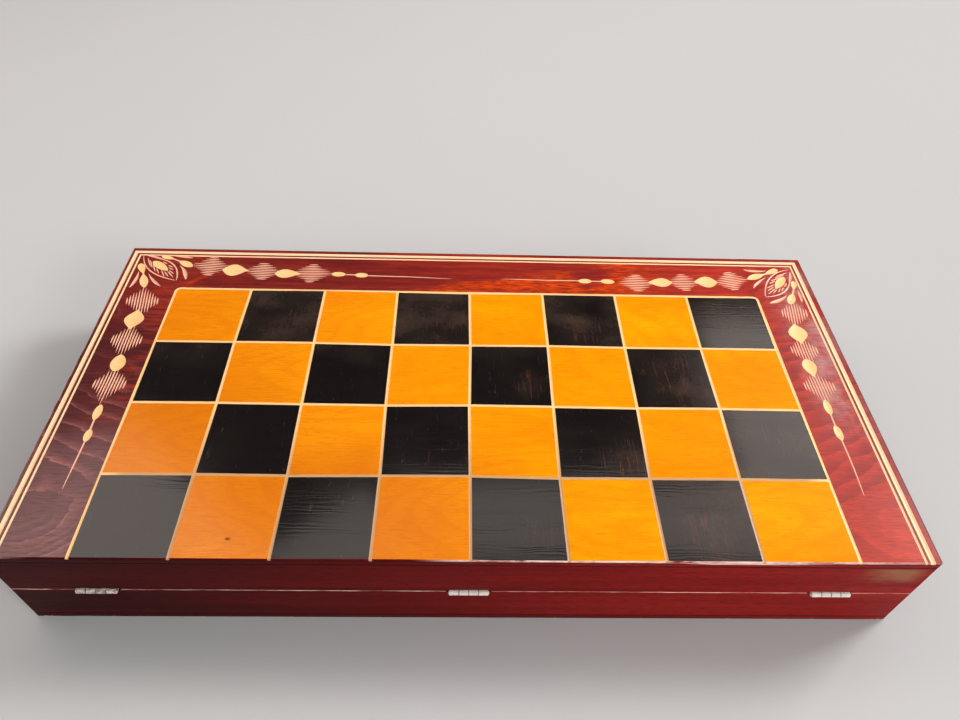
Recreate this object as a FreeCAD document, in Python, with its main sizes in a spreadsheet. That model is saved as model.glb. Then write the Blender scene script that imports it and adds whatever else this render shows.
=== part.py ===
import FreeCAD, Part
import os
import re

import Sketcher
from FreeCAD import Placement, Rotation, Vector

# A folding chess and backgammon board: two shallow wooden trays on three small butt hinges.
#
# Lengths are millimetres. +X runs along the hinge edge, +Y from the hinge edge to the latch
# edge and +Z up. The origin is the middle of the face that the closed board lies on.
#
# Both halves are the same tray. Each piece of a tray is drawn in the tray's own frame: z is 0
# in the seam where the halves meet and grows towards the outer face, and the hinge edge is at
# the smallest y. The upper tray stands as drawn, and the lower one is turned over about Y.

FILES = 8
RANKS = 4
POINTS = 6
HINGES = 3
KNUCKLES = 4
SCREW_SIDES = 10

SIZES = {
    # chess board and panel
    "square_side": 41.2,
    "border_width": 35.2,
    "panel_thickness": 4.0,
    "edge_break": 0.5,
    # carved lines of the outer face and of the backgammon points inside
    "carving_depth": 0.6,
    "grid_line": 1.8,
    "grid_corner_round": 2.6,
    "rim_inset": 2.3,
    "wide_line": 2.5,
    "line_spacing": 0.85,
    "narrow_line": 1.4,
    "point_length": 148.0,
    "point_line": 1.2,
    "point_gap": 1.0,
    # mitred rails
    "rail_height": 24.5,
    "rail_thickness": 9.0,
    "corner_break": 0.8,
    "seam_break": 0.4,
    # butt hinges let into the seam
    "hinge_inset": 2.5,
    "hinge_length": 17.4,
    "barrel_radius": 1.25,
    "barrel_stand_off": 0.5,
    "barrel_gap": 0.3,
    "notch_taper": 1.4,
    "pin_radius": 0.6,
    "pin_proud": 0.4,
    "leaf_reach": 7.2,
    "leaf_thickness": 0.9,
    "leaf_recess": 0.1,
    "knuckle_gap": 0.2,
    "mortise_gap": 0.1,
    # countersunk hinge screws
    "hinge_screw_spacing": 10.0,
    "hinge_screw_reach": 4.4,
    "hinge_screw_radius": 0.8,
    "hinge_screw_head_radius": 1.6,
    "hinge_screw_length": 9.0,
    "screw_tip_radius": 0.2,
    "fit_gap": 0.05,
    # latch hooks and their pan-head screws
    "hook_spread": 100.0,
    "hook_reach": 13.0,
    "hook_thickness": 1.0,
    "hook_width": 3.2,
    "hook_eye_radius": 3.0,
    "hook_head_radius": 3.4,
    "hook_throat_gap": 0.35,
    "hook_gap": 0.3,
    "stud_radius": 1.1,
    "stud_head_radius": 2.5,
    "stud_head_height": 1.2,
    "stud_head_top_radius": 1.8,
    "stud_embed": 7.0,
    # every cut that has to break through a face runs this far past it
    "overrun": 2.0,
}

# Sizes that follow from the ones above.
HALF_LENGTH = f"({FILES / 2} * square_side + border_width)"
HALF_DEPTH = f"(({RANKS} * square_side + border_width) / 2)"
TRAY_HEIGHT = "(rail_height + panel_thickness)"
GRID_HALF = f"({FILES / 2} * square_side)"
GRID_FAR = f"({RANKS} * square_side - {HALF_DEPTH})"
TRAY_HALF_LENGTH = f"({HALF_LENGTH} - rail_thickness)"
TRAY_HALF_DEPTH = f"({HALF_DEPTH} - rail_thickness)"
POINT_PITCH = f"(2 * {TRAY_HALF_DEPTH} / {POINTS})"
HINGE_SPREAD = f"({GRID_HALF} - hinge_inset)"
HINGE_AXIS = f"(-{HALF_DEPTH} - barrel_stand_off)"
STUD_STAND = "(2 * hook_gap + hook_thickness)"
STUD_HEIGHT = "(hook_reach / 2)"
THROAT_HALF = "(stud_radius + hook_throat_gap)"

doc = FreeCAD.newDocument("board")
sheet = doc.addObject("Spreadsheet::Sheet", "Sizes")
for row, (size, length) in enumerate(SIZES.items(), start=1):
    sheet.set(f"A{row}", size)
    sheet.set(f"B{row}", str(length))
    sheet.setAlias(f"B{row}", size)
doc.recompute()


def formula(text):
    """The text with every named size written as a cell of the sheet."""
    return re.sub(r"[a-z_]+", lambda word: f"Sizes.{word[0]}" if word[0] in SIZES else word[0], text)


def bind(thing, **formulas):
    """Ties properties of an object to the sheet."""
    for name, text in formulas.items():
        thing.setExpression(name, formula(text))


def place(thing, x="0", y="0", z="0", turn=Rotation()):
    """Turns an object, then stands its own origin at the place given by three formulas."""
    thing.Placement = Placement(Vector(), turn)
    for axis, text in zip("xyz", (x, y, z)):
        thing.setExpression(f"Placement.Base.{axis}", formula(text))
    return thing


def new_body(label):
    body = doc.addObject("PartDesign::Body", label)
    body.Label = label
    return body


def new_sketch(body, name, plane, x="0", y="0", z="0"):
    """A sketch on one of the body's own planes, moved in that plane and along its normal."""
    sketch = body.newObject("Sketcher::SketchObject", name)
    role = f"{plane}_Plane"
    support = next(item for item in body.Origin.OriginFeatures if item.Role == role)
    sketch.AttachmentSupport = [(support, "")]
    sketch.MapMode = "FlatFace"
    for axis, text in zip("xyz", (x, y, z)):
        sketch.setExpression(f"AttachmentOffset.Base.{axis}", formula(text))
    return sketch


def measure(sketch, text):
    """The length that a formula has now."""
    return float(sketch.evalExpression(formula(text)))


def constrain(sketch, text, kind, *where):
    """A dimension of a sketch whose value follows a formula."""
    number = sketch.addConstraint(Sketcher.Constraint(kind, *where, measure(sketch, text)))
    sketch.setExpression(f"Constraints[{number}]", formula(text))


def fix_point(sketch, item, end, x, y):
    """Holds one end of a sketch element at two formulas."""
    constrain(sketch, x, "DistanceX", -1, 1, item, end)
    constrain(sketch, y, "DistanceY", -1, 1, item, end)


def add_circle(sketch, x, y, radius):
    centre = Vector(measure(sketch, x), measure(sketch, y))
    item = sketch.addGeometry(Part.Circle(centre, Vector(0, 0, 1), measure(sketch, radius)))
    fix_point(sketch, item, 3, x, y)
    constrain(sketch, radius, "Radius", item)


def add_outline(sketch, points, arcs=()):
    """A closed outline through points given as pairs of formulas.

    Each arc is (first, radius, side): the stretch that leaves that point is an arc of that
    radius, bulging to the left (1) or right (-1) of the way from one point to the next.
    """
    places = [Vector(measure(sketch, x), measure(sketch, y)) for x, y in points]
    rounds = {first: (radius, side) for first, radius, side in arcs}
    starts = []
    ends = []
    for first, start in enumerate(places):
        end = places[(first + 1) % len(places)]
        if first in rounds:
            radius, side = rounds[first]
            chord = end - start
            left = Vector(-chord.y, chord.x).normalize()
            reach = measure(sketch, radius)
            rise = reach - (reach**2 - chord.Length**2 / 4) ** 0.5
            item = sketch.addGeometry(Part.Arc(start, (start + end) / 2 + left * rise * side, end))
            turned = sketch.getPoint(item, 1).distanceToPoint(start) > rise / 2
        else:
            item = sketch.addGeometry(Part.LineSegment(start, end))
            turned = False
        starts.append((item, 2 if turned else 1))
        ends.append((item, 1 if turned else 2))
    for first, (x, y) in enumerate(points):
        sketch.addConstraint(Sketcher.Constraint("Coincident", *ends[first - 1], *starts[first]))
        fix_point(sketch, *starts[first], x, y)
        if first in rounds:
            constrain(sketch, rounds[first][0], "Radius", starts[first][0])


def box_outline(x_low, x_high, y_low, y_high):
    return [(x_low, y_low), (x_high, y_low), (x_high, y_high), (x_low, y_high)]


def pad(body, sketch, length, reverse=False, middle=False):
    feature = body.newObject("PartDesign::Pad", f"{sketch.Name}_pad")
    feature.Profile = sketch
    feature.Reversed = reverse
    feature.Midplane = middle
    bind(feature, Length=length)
    return feature


def pocket(body, sketch, depth, reverse=False):
    feature = body.newObject("PartDesign::Pocket", f"{sketch.Name}_pocket")
    feature.Profile = sketch
    feature.Reversed = reverse
    bind(feature, Length=depth)
    return feature


def loft(body, kind, name, sections, x="0", y="0"):
    """A tapered stretch through polygons (height, radius), added (Additive) or cut (Subtractive)."""
    sketches = []
    for number, (height, radius) in enumerate(sections):
        sketch = new_sketch(body, f"{name}_{number}", "XY", x, y, height)
        angles = [f"{360 * side / SCREW_SIDES} deg" for side in range(SCREW_SIDES)]
        add_outline(sketch, [(f"({radius}) * cos({a})", f"({radius}) * sin({a})") for a in angles])
        sketches.append(sketch)
    feature = body.newObject(f"PartDesign::{kind}Loft", name)
    feature.Profile = sketches[0]
    feature.Sections = sketches[1:]
    feature.Ruled = True
    return feature


def pattern(body, sketch, axis, features, extent, count):
    """Repeats features along one of a sketch's axes, over the whole extent."""
    feature = body.newObject("PartDesign::LinearPattern", f"{sketch.Name}_row")
    feature.Originals = features
    feature.Direction = (sketch, [axis])
    bind(feature, Length=extent)
    feature.Occurrences = count
    body.Tip = feature
    return feature


def chamfer(body, feature, name, size, wanted):
    """Breaks the edges of a feature whose middle passes a test."""
    doc.recompute()
    edges = enumerate(feature.Shape.Edges, start=1)
    broken = body.newObject("PartDesign::Chamfer", name)
    broken.Base = (feature, [f"Edge{number}" for number, edge in edges if wanted(edge.BoundBox.Center)])
    bind(broken, Size=size)


def same(first, second):
    return abs(first - second) < Part.Precision.confusion() * 10


def arch(half_width, far, line):
    """Outline of a line that runs up the left side, along the far side and down the right side."""
    near = f"-{HALF_DEPTH} - overrun"
    inner = f"{half_width} - {line}"
    return [
        (f"-({half_width})", near),
        (f"-({half_width})", far),
        (half_width, far),
        (half_width, near),
        (inner, near),
        (inner, f"{far} - {line}"),
        (f"-({inner})", f"{far} - {line}"),
        (f"-({inner})", near),
    ]


def rounded_arch(half_width, far, line, radius):
    """The same line with its two outer corners rounded, and the arcs that round them."""
    points = arch(half_width, far, line)
    left_foot, _, _, right_foot = points[:4]
    corners = [
        (f"-({half_width})", f"{far} - {radius}"),
        (f"-({half_width}) + {radius}", far),
        (f"{half_width} - {radius}", far),
        (half_width, f"{far} - {radius}"),
    ]
    return [left_foot, *corners, right_foot, *points[4:]], [(1, radius, 1), (3, radius, 1)]


def make_panel(label):
    """Plywood sheet: carved chess squares outside, carved backgammon points inside."""
    body = new_body(label)
    sheet_sketch = new_sketch(body, f"{label}_sheet", "XY", z="rail_height")
    add_outline(
        sheet_sketch,
        box_outline(f"-{HALF_LENGTH}", HALF_LENGTH, f"-{HALF_DEPTH}", HALF_DEPTH),
    )
    blank = pad(body, sheet_sketch, "panel_thickness")
    inner_face = measure(sheet_sketch, "rail_height")
    chamfer(
        body, blank, f"{label}_eased_edges", "edge_break", lambda middle: not same(middle.z, inner_face)
    )

    def carve(name, points, arcs=()):
        sketch = new_sketch(body, f"{label}_{name}", "XY", z=TRAY_HEIGHT)
        add_outline(sketch, points, arcs)
        return sketch, pocket(body, sketch, "carving_depth")

    narrow_inset = "(rim_inset + wide_line + line_spacing)"
    carve("wide_line", arch(f"{HALF_LENGTH} - rim_inset", f"{HALF_DEPTH} - rim_inset", "wide_line"))
    carve(
        "narrow_line",
        arch(f"{HALF_LENGTH} - {narrow_inset}", f"{HALF_DEPTH} - {narrow_inset}", "narrow_line"),
    )
    carve(
        "grid_frame",
        *rounded_arch(
            f"{GRID_HALF} + grid_line / 2", f"{GRID_FAR} + grid_line / 2", "grid_line", "grid_corner_round"
        ),
    )
    first_file = f"square_side - {GRID_HALF}"
    file_sketch, file_line = carve(
        "file_line",
        box_outline(
            f"{first_file} - grid_line / 2",
            f"{first_file} + grid_line / 2",
            f"-{HALF_DEPTH} - overrun",
            GRID_FAR,
        ),
    )
    pattern(body, file_sketch, "H_Axis", [file_line], f"{FILES - 2} * square_side", FILES - 1)
    first_rank = f"square_side - {HALF_DEPTH}"
    rank_sketch, rank_line = carve(
        "rank_line",
        box_outline(
            f"-{GRID_HALF}", GRID_HALF, f"{first_rank} - grid_line / 2", f"{first_rank} + grid_line / 2"
        ),
    )
    pattern(body, rank_sketch, "V_Axis", [rank_line], f"{RANKS - 2} * square_side", RANKS - 1)

    for end, side in (("left", "-"), ("right", "+")):
        base = f"0 {side} {TRAY_HALF_LENGTH}"
        tip = f"0 {side} ({TRAY_HALF_LENGTH} - point_length)"
        inner_share = f"(1 - 2 * point_line / ({POINT_PITCH} - point_gap))"
        inner_tip = f"0 {side} ({TRAY_HALF_LENGTH} - point_length * {inner_share})"
        low = f"point_gap / 2 - {TRAY_HALF_DEPTH}"
        middle = f"{POINT_PITCH} / 2 - {TRAY_HALF_DEPTH}"
        high = f"{POINT_PITCH} - point_gap / 2 - {TRAY_HALF_DEPTH}"
        point_sketch = new_sketch(body, f"{label}_{end}_point", "XY", z="rail_height")
        add_outline(
            point_sketch,
            [
                (base, low),
                (tip, middle),
                (base, high),
                (base, f"{high} - point_line"),
                (inner_tip, middle),
                (base, f"{low} + point_line"),
            ],
        )
        point = pocket(body, point_sketch, "carving_depth", reverse=True)
        pattern(body, point_sketch, "V_Axis", [point], f"{POINTS - 1} * {POINT_PITCH}", POINTS)
    return body


def make_rail(label, half_span, outer):
    """Mitred bar along X, its outer face square to Y at the distance given by a formula."""
    body = new_body(label)
    sketch = new_sketch(body, f"{label}_bar", "XY")
    face = f"-{outer}"
    blunt = f"({half_span} - corner_break)"
    mitre = f"({half_span} - corner_break / 2)"
    inner = f"({half_span} - rail_thickness)"
    add_outline(
        sketch,
        [
            (f"-{blunt}", face),
            (blunt, face),
            (mitre, f"{face} + corner_break / 2"),
            (inner, f"{face} + rail_thickness"),
            (f"-{inner}", f"{face} + rail_thickness"),
            (f"-{mitre}", f"{face} + corner_break / 2"),
        ],
    )
    bar = pad(body, sketch, "rail_height")
    face_place = measure(sketch, face)
    chamfer(
        body,
        bar,
        f"{label}_seam_edge",
        "seam_break",
        lambda middle: same(middle.z, 0) and same(middle.y, face_place),
    )
    return body


def let_in_hinges(rail):
    """Cuts the leaf mortises, the barrel notches with their pointed ends and the screw holes."""
    label = rail.Label
    half = "(hinge_length / 2)"
    first = f"(-{HINGE_SPREAD})"
    mortise_sketch = new_sketch(rail, f"{label}_mortise", "XY")
    add_outline(
        mortise_sketch,
        box_outline(
            f"{first} - {half} - mortise_gap",
            f"{first} + {half} + mortise_gap",
            f"{HINGE_AXIS} - overrun",
            f"{HINGE_AXIS} + leaf_reach + mortise_gap",
        ),
    )
    mortise = pocket(rail, mortise_sketch, "leaf_recess + leaf_thickness", reverse=True)

    notch_sketch = new_sketch(rail, f"{label}_notch", "XZ", x=first, z=HALF_DEPTH)
    notch_half = f"({half} + barrel_gap)"
    notch_height = "barrel_radius + barrel_gap"
    add_outline(
        notch_sketch,
        [
            (f"-{notch_half} - notch_taper", "0"),
            (f"{notch_half} + notch_taper", "0"),
            (notch_half, notch_height),
            (f"-{notch_half}", notch_height),
        ],
    )
    notch = pocket(rail, notch_sketch, "barrel_radius + barrel_gap - barrel_stand_off")

    holes = [
        loft(
            rail,
            "Subtractive",
            f"{label}_{end}_screw_hole",
            [
                ("leaf_recess + leaf_thickness", "hinge_screw_radius + fit_gap"),
                ("leaf_recess + hinge_screw_length + fit_gap", "screw_tip_radius + fit_gap"),
            ],
            f"{first} {side} hinge_screw_spacing / 2",
            f"{HINGE_AXIS} + hinge_screw_reach",
        )
        for end, side in (("left", "-"), ("right", "+"))
    ]
    pattern(
        rail, mortise_sketch, "H_Axis", [mortise, notch, *holes], f"{HINGES - 1} * {HINGE_SPREAD}", HINGES
    )
    return rail


def drill_for_studs(rail):
    """Drills the two holes that take the hook pivots or the catch studs of a latch rail."""
    sketch = new_sketch(rail, f"{rail.Label}_stud_holes", "XZ", z=HALF_DEPTH)
    for side in "-+":
        add_circle(sketch, f"0 {side} hook_spread", STUD_HEIGHT, "stud_radius + fit_gap")
    pocket(rail, sketch, "stud_embed + fit_gap")
    return rail


def make_leaf(label):
    """Hinge leaf rolled round the pin, drawn on the pin axis, with every other knuckle cut away."""
    body = new_body(label)
    near = "leaf_recess"
    back = "(leaf_recess + leaf_thickness)"
    strip = new_sketch(body, f"{label}_rolled_strip", "YZ")
    add_outline(
        strip,
        [
            ("leaf_reach", back),
            (f"sqrt(barrel_radius ^ 2 - {back} ^ 2)", back),
            ("-barrel_radius", "0"),
            ("0", "-barrel_radius"),
            (f"sqrt(barrel_radius ^ 2 - {near} ^ 2)", near),
            ("leaf_reach", near),
        ],
        [(1, "barrel_radius", -1), (2, "barrel_radius", -1), (3, "barrel_radius", -1)],
    )
    add_circle(strip, "0", "0", "pin_radius + fit_gap")
    pad(body, strip, "hinge_length", middle=True)

    gaps = new_sketch(body, f"{label}_knuckle_gaps", "XY", z="-barrel_radius - overrun")
    for gap in range(1, KNUCKLES, 2):
        low = f"({gap} / {KNUCKLES} - 0.5) * hinge_length - knuckle_gap / 2"
        high = f"({gap + 1} / {KNUCKLES} - 0.5) * hinge_length + knuckle_gap / 2"
        add_outline(
            gaps, box_outline(low, high, "-barrel_radius - overrun", "barrel_radius + barrel_gap")
        )
    pocket(body, gaps, "2 * (barrel_radius + overrun)", reverse=True)

    seat = loft(
        body,
        "Subtractive",
        f"{label}_screw_seat",
        [(near, "hinge_screw_head_radius + fit_gap"), (back, "hinge_screw_radius + fit_gap")],
        "-hinge_screw_spacing / 2",
        "hinge_screw_reach",
    )
    pattern(body, gaps, "H_Axis", [seat], "hinge_screw_spacing", 2)
    return body


def make_pin(label):
    """Hinge pin along X whose ends stand a little out of the barrel."""
    body = new_body(label)
    sketch = new_sketch(body, f"{label}_section", "YZ")
    add_circle(sketch, "0", "0", "pin_radius")
    pad(body, sketch, "hinge_length + 2 * pin_proud", middle=True)
    return body


def make_hinge_screw(label):
    """Small countersunk wood screw pointing along +Z, its head flush with z = 0."""
    body = new_body(label)
    loft(
        body,
        "Additive",
        f"{label}_shank",
        [
            ("0", "hinge_screw_head_radius"),
            ("leaf_thickness", "hinge_screw_radius"),
            ("hinge_screw_length", "screw_tip_radius"),
        ],
    )
    return body


def make_stud(label):
    """Screw pointing along -Z, with room for a hook between its coned head and the wood at z = 0."""
    body = new_body(label)
    top = f"{STUD_STAND} + stud_head_height"
    profile = new_sketch(body, f"{label}_profile", "XZ")
    add_outline(
        profile,
        [
            ("0", "-stud_embed"),
            ("stud_radius", "-stud_embed"),
            ("stud_radius", STUD_STAND),
            ("stud_head_radius", STUD_STAND),
            ("stud_head_top_radius", top),
            ("0", top),
        ],
    )
    turned = body.newObject("PartDesign::Revolution", f"{label}_turned")
    turned.Profile = profile
    turned.ReferenceAxis = (profile, ["V_Axis"])
    turned.Angle = 360
    return body


def make_hook(label):
    """Flat latch hook hanging from its eye at the origin, its throat an arc about the eye."""
    body = new_body(label)

    def stamp(name):
        return new_sketch(body, f"{label}_{name}", "XZ")

    eye = stamp("eye")
    add_circle(eye, "0", "0", "hook_eye_radius")
    shank = stamp("shank")
    add_outline(shank, box_outline("-hook_width / 2", "hook_width / 2", "-hook_reach", "0"))
    head = stamp("head")
    add_circle(head, "0", "-hook_reach", "hook_head_radius")
    for sketch in (eye, shank, head):
        pad(body, sketch, "hook_thickness", reverse=True)

    hole = stamp("hole")
    add_circle(hole, "0", "0", "stud_radius + fit_gap")
    seat = stamp("seat")
    add_circle(seat, "0", "-hook_reach", THROAT_HALF)
    mouth = "(hook_head_radius + overrun)"
    inner = f"(hook_reach - {THROAT_HALF})"
    outer = f"(hook_reach + {THROAT_HALF})"
    throat = stamp("throat")
    add_outline(
        throat,
        [
            ("0", f"-{inner}"),
            (f"-{mouth}", f"-sqrt({inner} ^ 2 - {mouth} ^ 2)"),
            (f"-{mouth}", f"-sqrt({outer} ^ 2 - {mouth} ^ 2)"),
            ("0", f"-{outer}"),
        ],
        [(0, inner, 1), (2, outer, -1)],
    )
    for sketch in (hole, seat, throat):
        pocket(body, sketch, "hook_thickness")
    return body


def make_group(label, pieces):
    """Several like pieces in one node."""
    group = doc.addObject("Part::Compound", label)
    group.Label = label
    group.Links = pieces
    return group


UPRIGHT = Rotation()
TURNED_OVER = Rotation(Vector(0, 1, 0), 180)
OUTWARD = Rotation(Vector(1, 0, 0), -90)
HALF_TURN = Rotation(Vector(0, 0, 1), 180)


def quarter_turns(count):
    return Rotation(Vector(0, 0, 1), 90 * count)


def make_tray(half, turn):
    """One half: a panel glued on four mitred rails, in its place on the closed board."""
    panel = make_panel(f"{half}_panel")
    hinge_rail = let_in_hinges(make_rail(f"{half}_hinge_rail", HALF_LENGTH, HALF_DEPTH))
    latch_rail = drill_for_studs(make_rail(f"{half}_latch_rail", HALF_LENGTH, HALF_DEPTH))
    ends = ("right", "left") if turn == UPRIGHT else ("left", "right")
    end_rails = [make_rail(f"{half}_{end}_rail", HALF_DEPTH, HALF_LENGTH) for end in ends]
    rails = (hinge_rail, end_rails[0], latch_rail, end_rails[1])
    place(panel, z=TRAY_HEIGHT, turn=turn)
    for count, rail in enumerate(rails):
        place(rail, z=TRAY_HEIGHT, turn=turn * quarter_turns(count))
    return [panel, *rails]


def make_hinge(name, x):
    """Two leaves and the pin of one hinge, at its place along the hinge edge."""
    upper = make_leaf(f"{name}_hinge_upper_leaf")
    lower = make_leaf(f"{name}_hinge_lower_leaf")
    pin = make_pin(f"{name}_hinge_pin")
    for piece, turn in ((upper, UPRIGHT), (lower, TURNED_OVER), (pin, UPRIGHT)):
        place(piece, x, HINGE_AXIS, TRAY_HEIGHT, turn)
    return [upper, lower, pin]


def make_hinge_screws(half, side, turn):
    """The six screws that hold one half's hinge leaves."""
    screws = []
    for hinge in range(HINGES):
        for end in "-+":
            screw = make_hinge_screw(f"{half}_screw_{len(screws) + 1}")
            x = f"({hinge} - {HINGES // 2}) * {HINGE_SPREAD} {end} hinge_screw_spacing / 2"
            y = f"{HINGE_AXIS} + hinge_screw_reach"
            screws.append(place(screw, x, y, f"{TRAY_HEIGHT} {side} leaf_recess", turn))
    return make_group(f"{half}_hinge_screws", screws)


def make_studs(label, side):
    """A pair of pan-head screws in a latch rail, above (+) or below (-) the seam."""
    studs = []
    for end in "-+":
        stud = make_stud(f"{label}_{len(studs) + 1}")
        height = f"{TRAY_HEIGHT} {side} {STUD_HEIGHT}"
        studs.append(place(stud, f"0 {end} hook_spread", HALF_DEPTH, height, OUTWARD))
    return make_group(label, studs)


def make_hooks():
    """The two hooks hanging open. The right one is the same piece with its other face outwards."""
    height = f"{TRAY_HEIGHT} - {STUD_HEIGHT}"
    near_face = f"{HALF_DEPTH} + hook_gap"
    left = place(make_hook("left_hook"), "-hook_spread", near_face, height)
    right = place(
        make_hook("right_hook"), "hook_spread", f"{near_face} + hook_thickness", height, HALF_TURN
    )
    return [left, right]


nodes = [*make_tray("lower", TURNED_OVER), *make_tray("upper", UPRIGHT)]
for name, x in (("left", f"-{HINGE_SPREAD}"), ("middle", "0"), ("right", HINGE_SPREAD)):
    nodes += make_hinge(name, x)
nodes.append(make_hinge_screws("lower", "-", TURNED_OVER))
nodes.append(make_hinge_screws("upper", "+", UPRIGHT))
nodes += make_hooks()
nodes.append(make_studs("hook_pivot_screws", "-"))
nodes.append(make_studs("catch_studs", "+"))
doc.recompute()

CUTS = ("PartDesign::Pocket", "PartDesign::SubtractiveLoft", "PartDesign::LinearPattern")
for thing in doc.Objects:
    if "Invalid" in thing.State or "Error" in thing.State:
        raise RuntimeError(f"{thing.Label} failed: {thing.State}")
    if thing.TypeId in CUTS:
        if not thing.Shape.Volume < thing.BaseFeature.Shape.Volume:
            raise RuntimeError(f"{thing.Label} cuts nothing")
for node in nodes:
    if node.Shape.isNull() or not node.Shape.isValid():
        raise RuntimeError(f"{node.Label} has no valid shape")

os.makedirs("parts", exist_ok=True)
for node in nodes:
    node.Shape.exportStep(f"parts/{node.Label}.step")
    print(node.Label, len(node.Shape.Solids), round(node.Shape.Volume, 2))
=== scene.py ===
from functools import reduce

import bpy
import numpy as np
from mathutils import Matrix, Quaternion, Vector
from mathutils.geometry import delaunay_2d_cdt


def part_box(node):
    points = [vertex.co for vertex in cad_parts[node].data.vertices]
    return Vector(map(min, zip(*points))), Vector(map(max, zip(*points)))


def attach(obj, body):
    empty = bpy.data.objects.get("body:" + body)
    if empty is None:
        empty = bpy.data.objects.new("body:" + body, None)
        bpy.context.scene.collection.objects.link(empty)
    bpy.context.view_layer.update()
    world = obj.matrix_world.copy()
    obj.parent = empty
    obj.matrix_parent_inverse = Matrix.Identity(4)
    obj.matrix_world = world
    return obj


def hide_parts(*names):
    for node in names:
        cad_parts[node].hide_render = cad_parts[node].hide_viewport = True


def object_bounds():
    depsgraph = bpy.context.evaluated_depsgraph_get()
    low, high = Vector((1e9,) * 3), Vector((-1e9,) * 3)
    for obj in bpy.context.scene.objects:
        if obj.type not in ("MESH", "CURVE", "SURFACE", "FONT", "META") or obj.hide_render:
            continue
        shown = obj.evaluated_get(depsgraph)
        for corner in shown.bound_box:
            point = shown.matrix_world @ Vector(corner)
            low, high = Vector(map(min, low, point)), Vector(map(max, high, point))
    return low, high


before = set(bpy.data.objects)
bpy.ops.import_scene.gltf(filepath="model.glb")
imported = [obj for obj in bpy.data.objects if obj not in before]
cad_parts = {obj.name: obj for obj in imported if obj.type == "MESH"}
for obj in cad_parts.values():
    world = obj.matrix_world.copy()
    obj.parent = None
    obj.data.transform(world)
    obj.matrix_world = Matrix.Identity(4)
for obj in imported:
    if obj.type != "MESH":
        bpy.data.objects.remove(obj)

cad_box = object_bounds()

# Sizes are in millimetres in the CAD frame; the meshes are made in metres.
MM = 0.001
panel_low, panel_high = (np.array(corner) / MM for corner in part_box("upper_panel"))
HALF_LENGTH, HALF_DEPTH, PANEL_TOP = panel_high
PANEL_UNDER = panel_low[2]
BOX_HEIGHT = cad_box[1].z / MM
SEAM = BOX_HEIGHT / 2

# The squares and the points
FILES, RANKS, POINTS = 8, 4, 6
SQUARE = 41.2
GRID_HALF = FILES * SQUARE / 2
GRID_FAR = RANKS * SQUARE - HALF_DEPTH
RAIL_THICKNESS = 9.0
TRAY_HALF_LENGTH = HALF_LENGTH - RAIL_THICKNESS
TRAY_HALF_DEPTH = HALF_DEPTH - RAIL_THICKNESS
POINT_LENGTH, POINT_GAP, POINT_LINE, POINT_OVERRUN = 148.0, 1.0, 1.2, 1
POINT_PITCH = 2 * TRAY_HALF_DEPTH / POINTS

# The panel's edges
EDGE_ROUND, CORNER_ROUND, LEAST_ROUND, UNDER_BREAK = 0.6, 0.9, 0.02, 0.4
EDGE_STEPS = EDGE_ROUND * np.array([0.0, 0.06, 0.2, 0.4, 0.68, 1.0])
CORNER_STEPS = 5

# The carving: grooves are V cuts, petals are gouged round
GRID_LINE, GRID_DEPTH, GRID_ROUND, GRID_ROUND_STEPS = 1.4, 0.15, 2.6, 7
WIDE_LINE_MIDDLE, WIDE_LINE, WIDE_DEPTH = 3.5, 2.2, 0.36
NARROW_LINE_MIDDLE, NARROW_LINE, NARROW_DEPTH = 6.35, 1.05, 0.26
BORDER_SHIFT, BORDER_DROP = -0.6, 0.5
V_SHARE, GOUGE_SHARE, GOUGE_FLOOR = 0.26, 0.03, 0.24
V_ACROSS, GOUGE_ACROSS = np.array([-1.0, 0, 1]), np.linspace(-1, 1, 9)
CUT_STEPS, BUD_STEPS, PETAL_STEPS, TRACE_STEPS = 9, 15, 19, 65
FAN_PITCH, FAN_CUT_WIDTH, FAN_SHORTEST = 1.5, 0.88, 4.0
FAN_OVERREACH, FAN_HOLLOW, NECK_WIDTH, TAIL_WIDTH = 1.22, 1.35, 0.9, 0.8
FAN_UNEVEN, FAN_STAGGER, RAY_WIDTH = 0.1, 0.6, 0.78
# The depth that counts as carved, a margin round a stroke, and how close points are on the rim or the same
CARVED, MARGIN, ON_RIM, MERGE, TINY = 0.01, 0.01, 1e-3, 1e-4, 1e-6
hand = np.random.default_rng(11)

# The sway and drift of the hand: strength, two wave lengths and phase of each wave
WOBBLE, WOBBLE_FADE = 0.28, 1.6
SWAY = [(1.0, 17, 41, 0.0), (0.6, 7.3, -29, 1.7)]
DRIFT = [(1.0, 19, -37, 0.6), (0.6, 8.1, 31, 2.9)]

# Where the corner buds start: the pattern was carved once, and a quarter turn on for the other corner
LEFT_CORNER, RIGHT_CORNER = (-192.2, 92.4), (191.4, 90.4)

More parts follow.
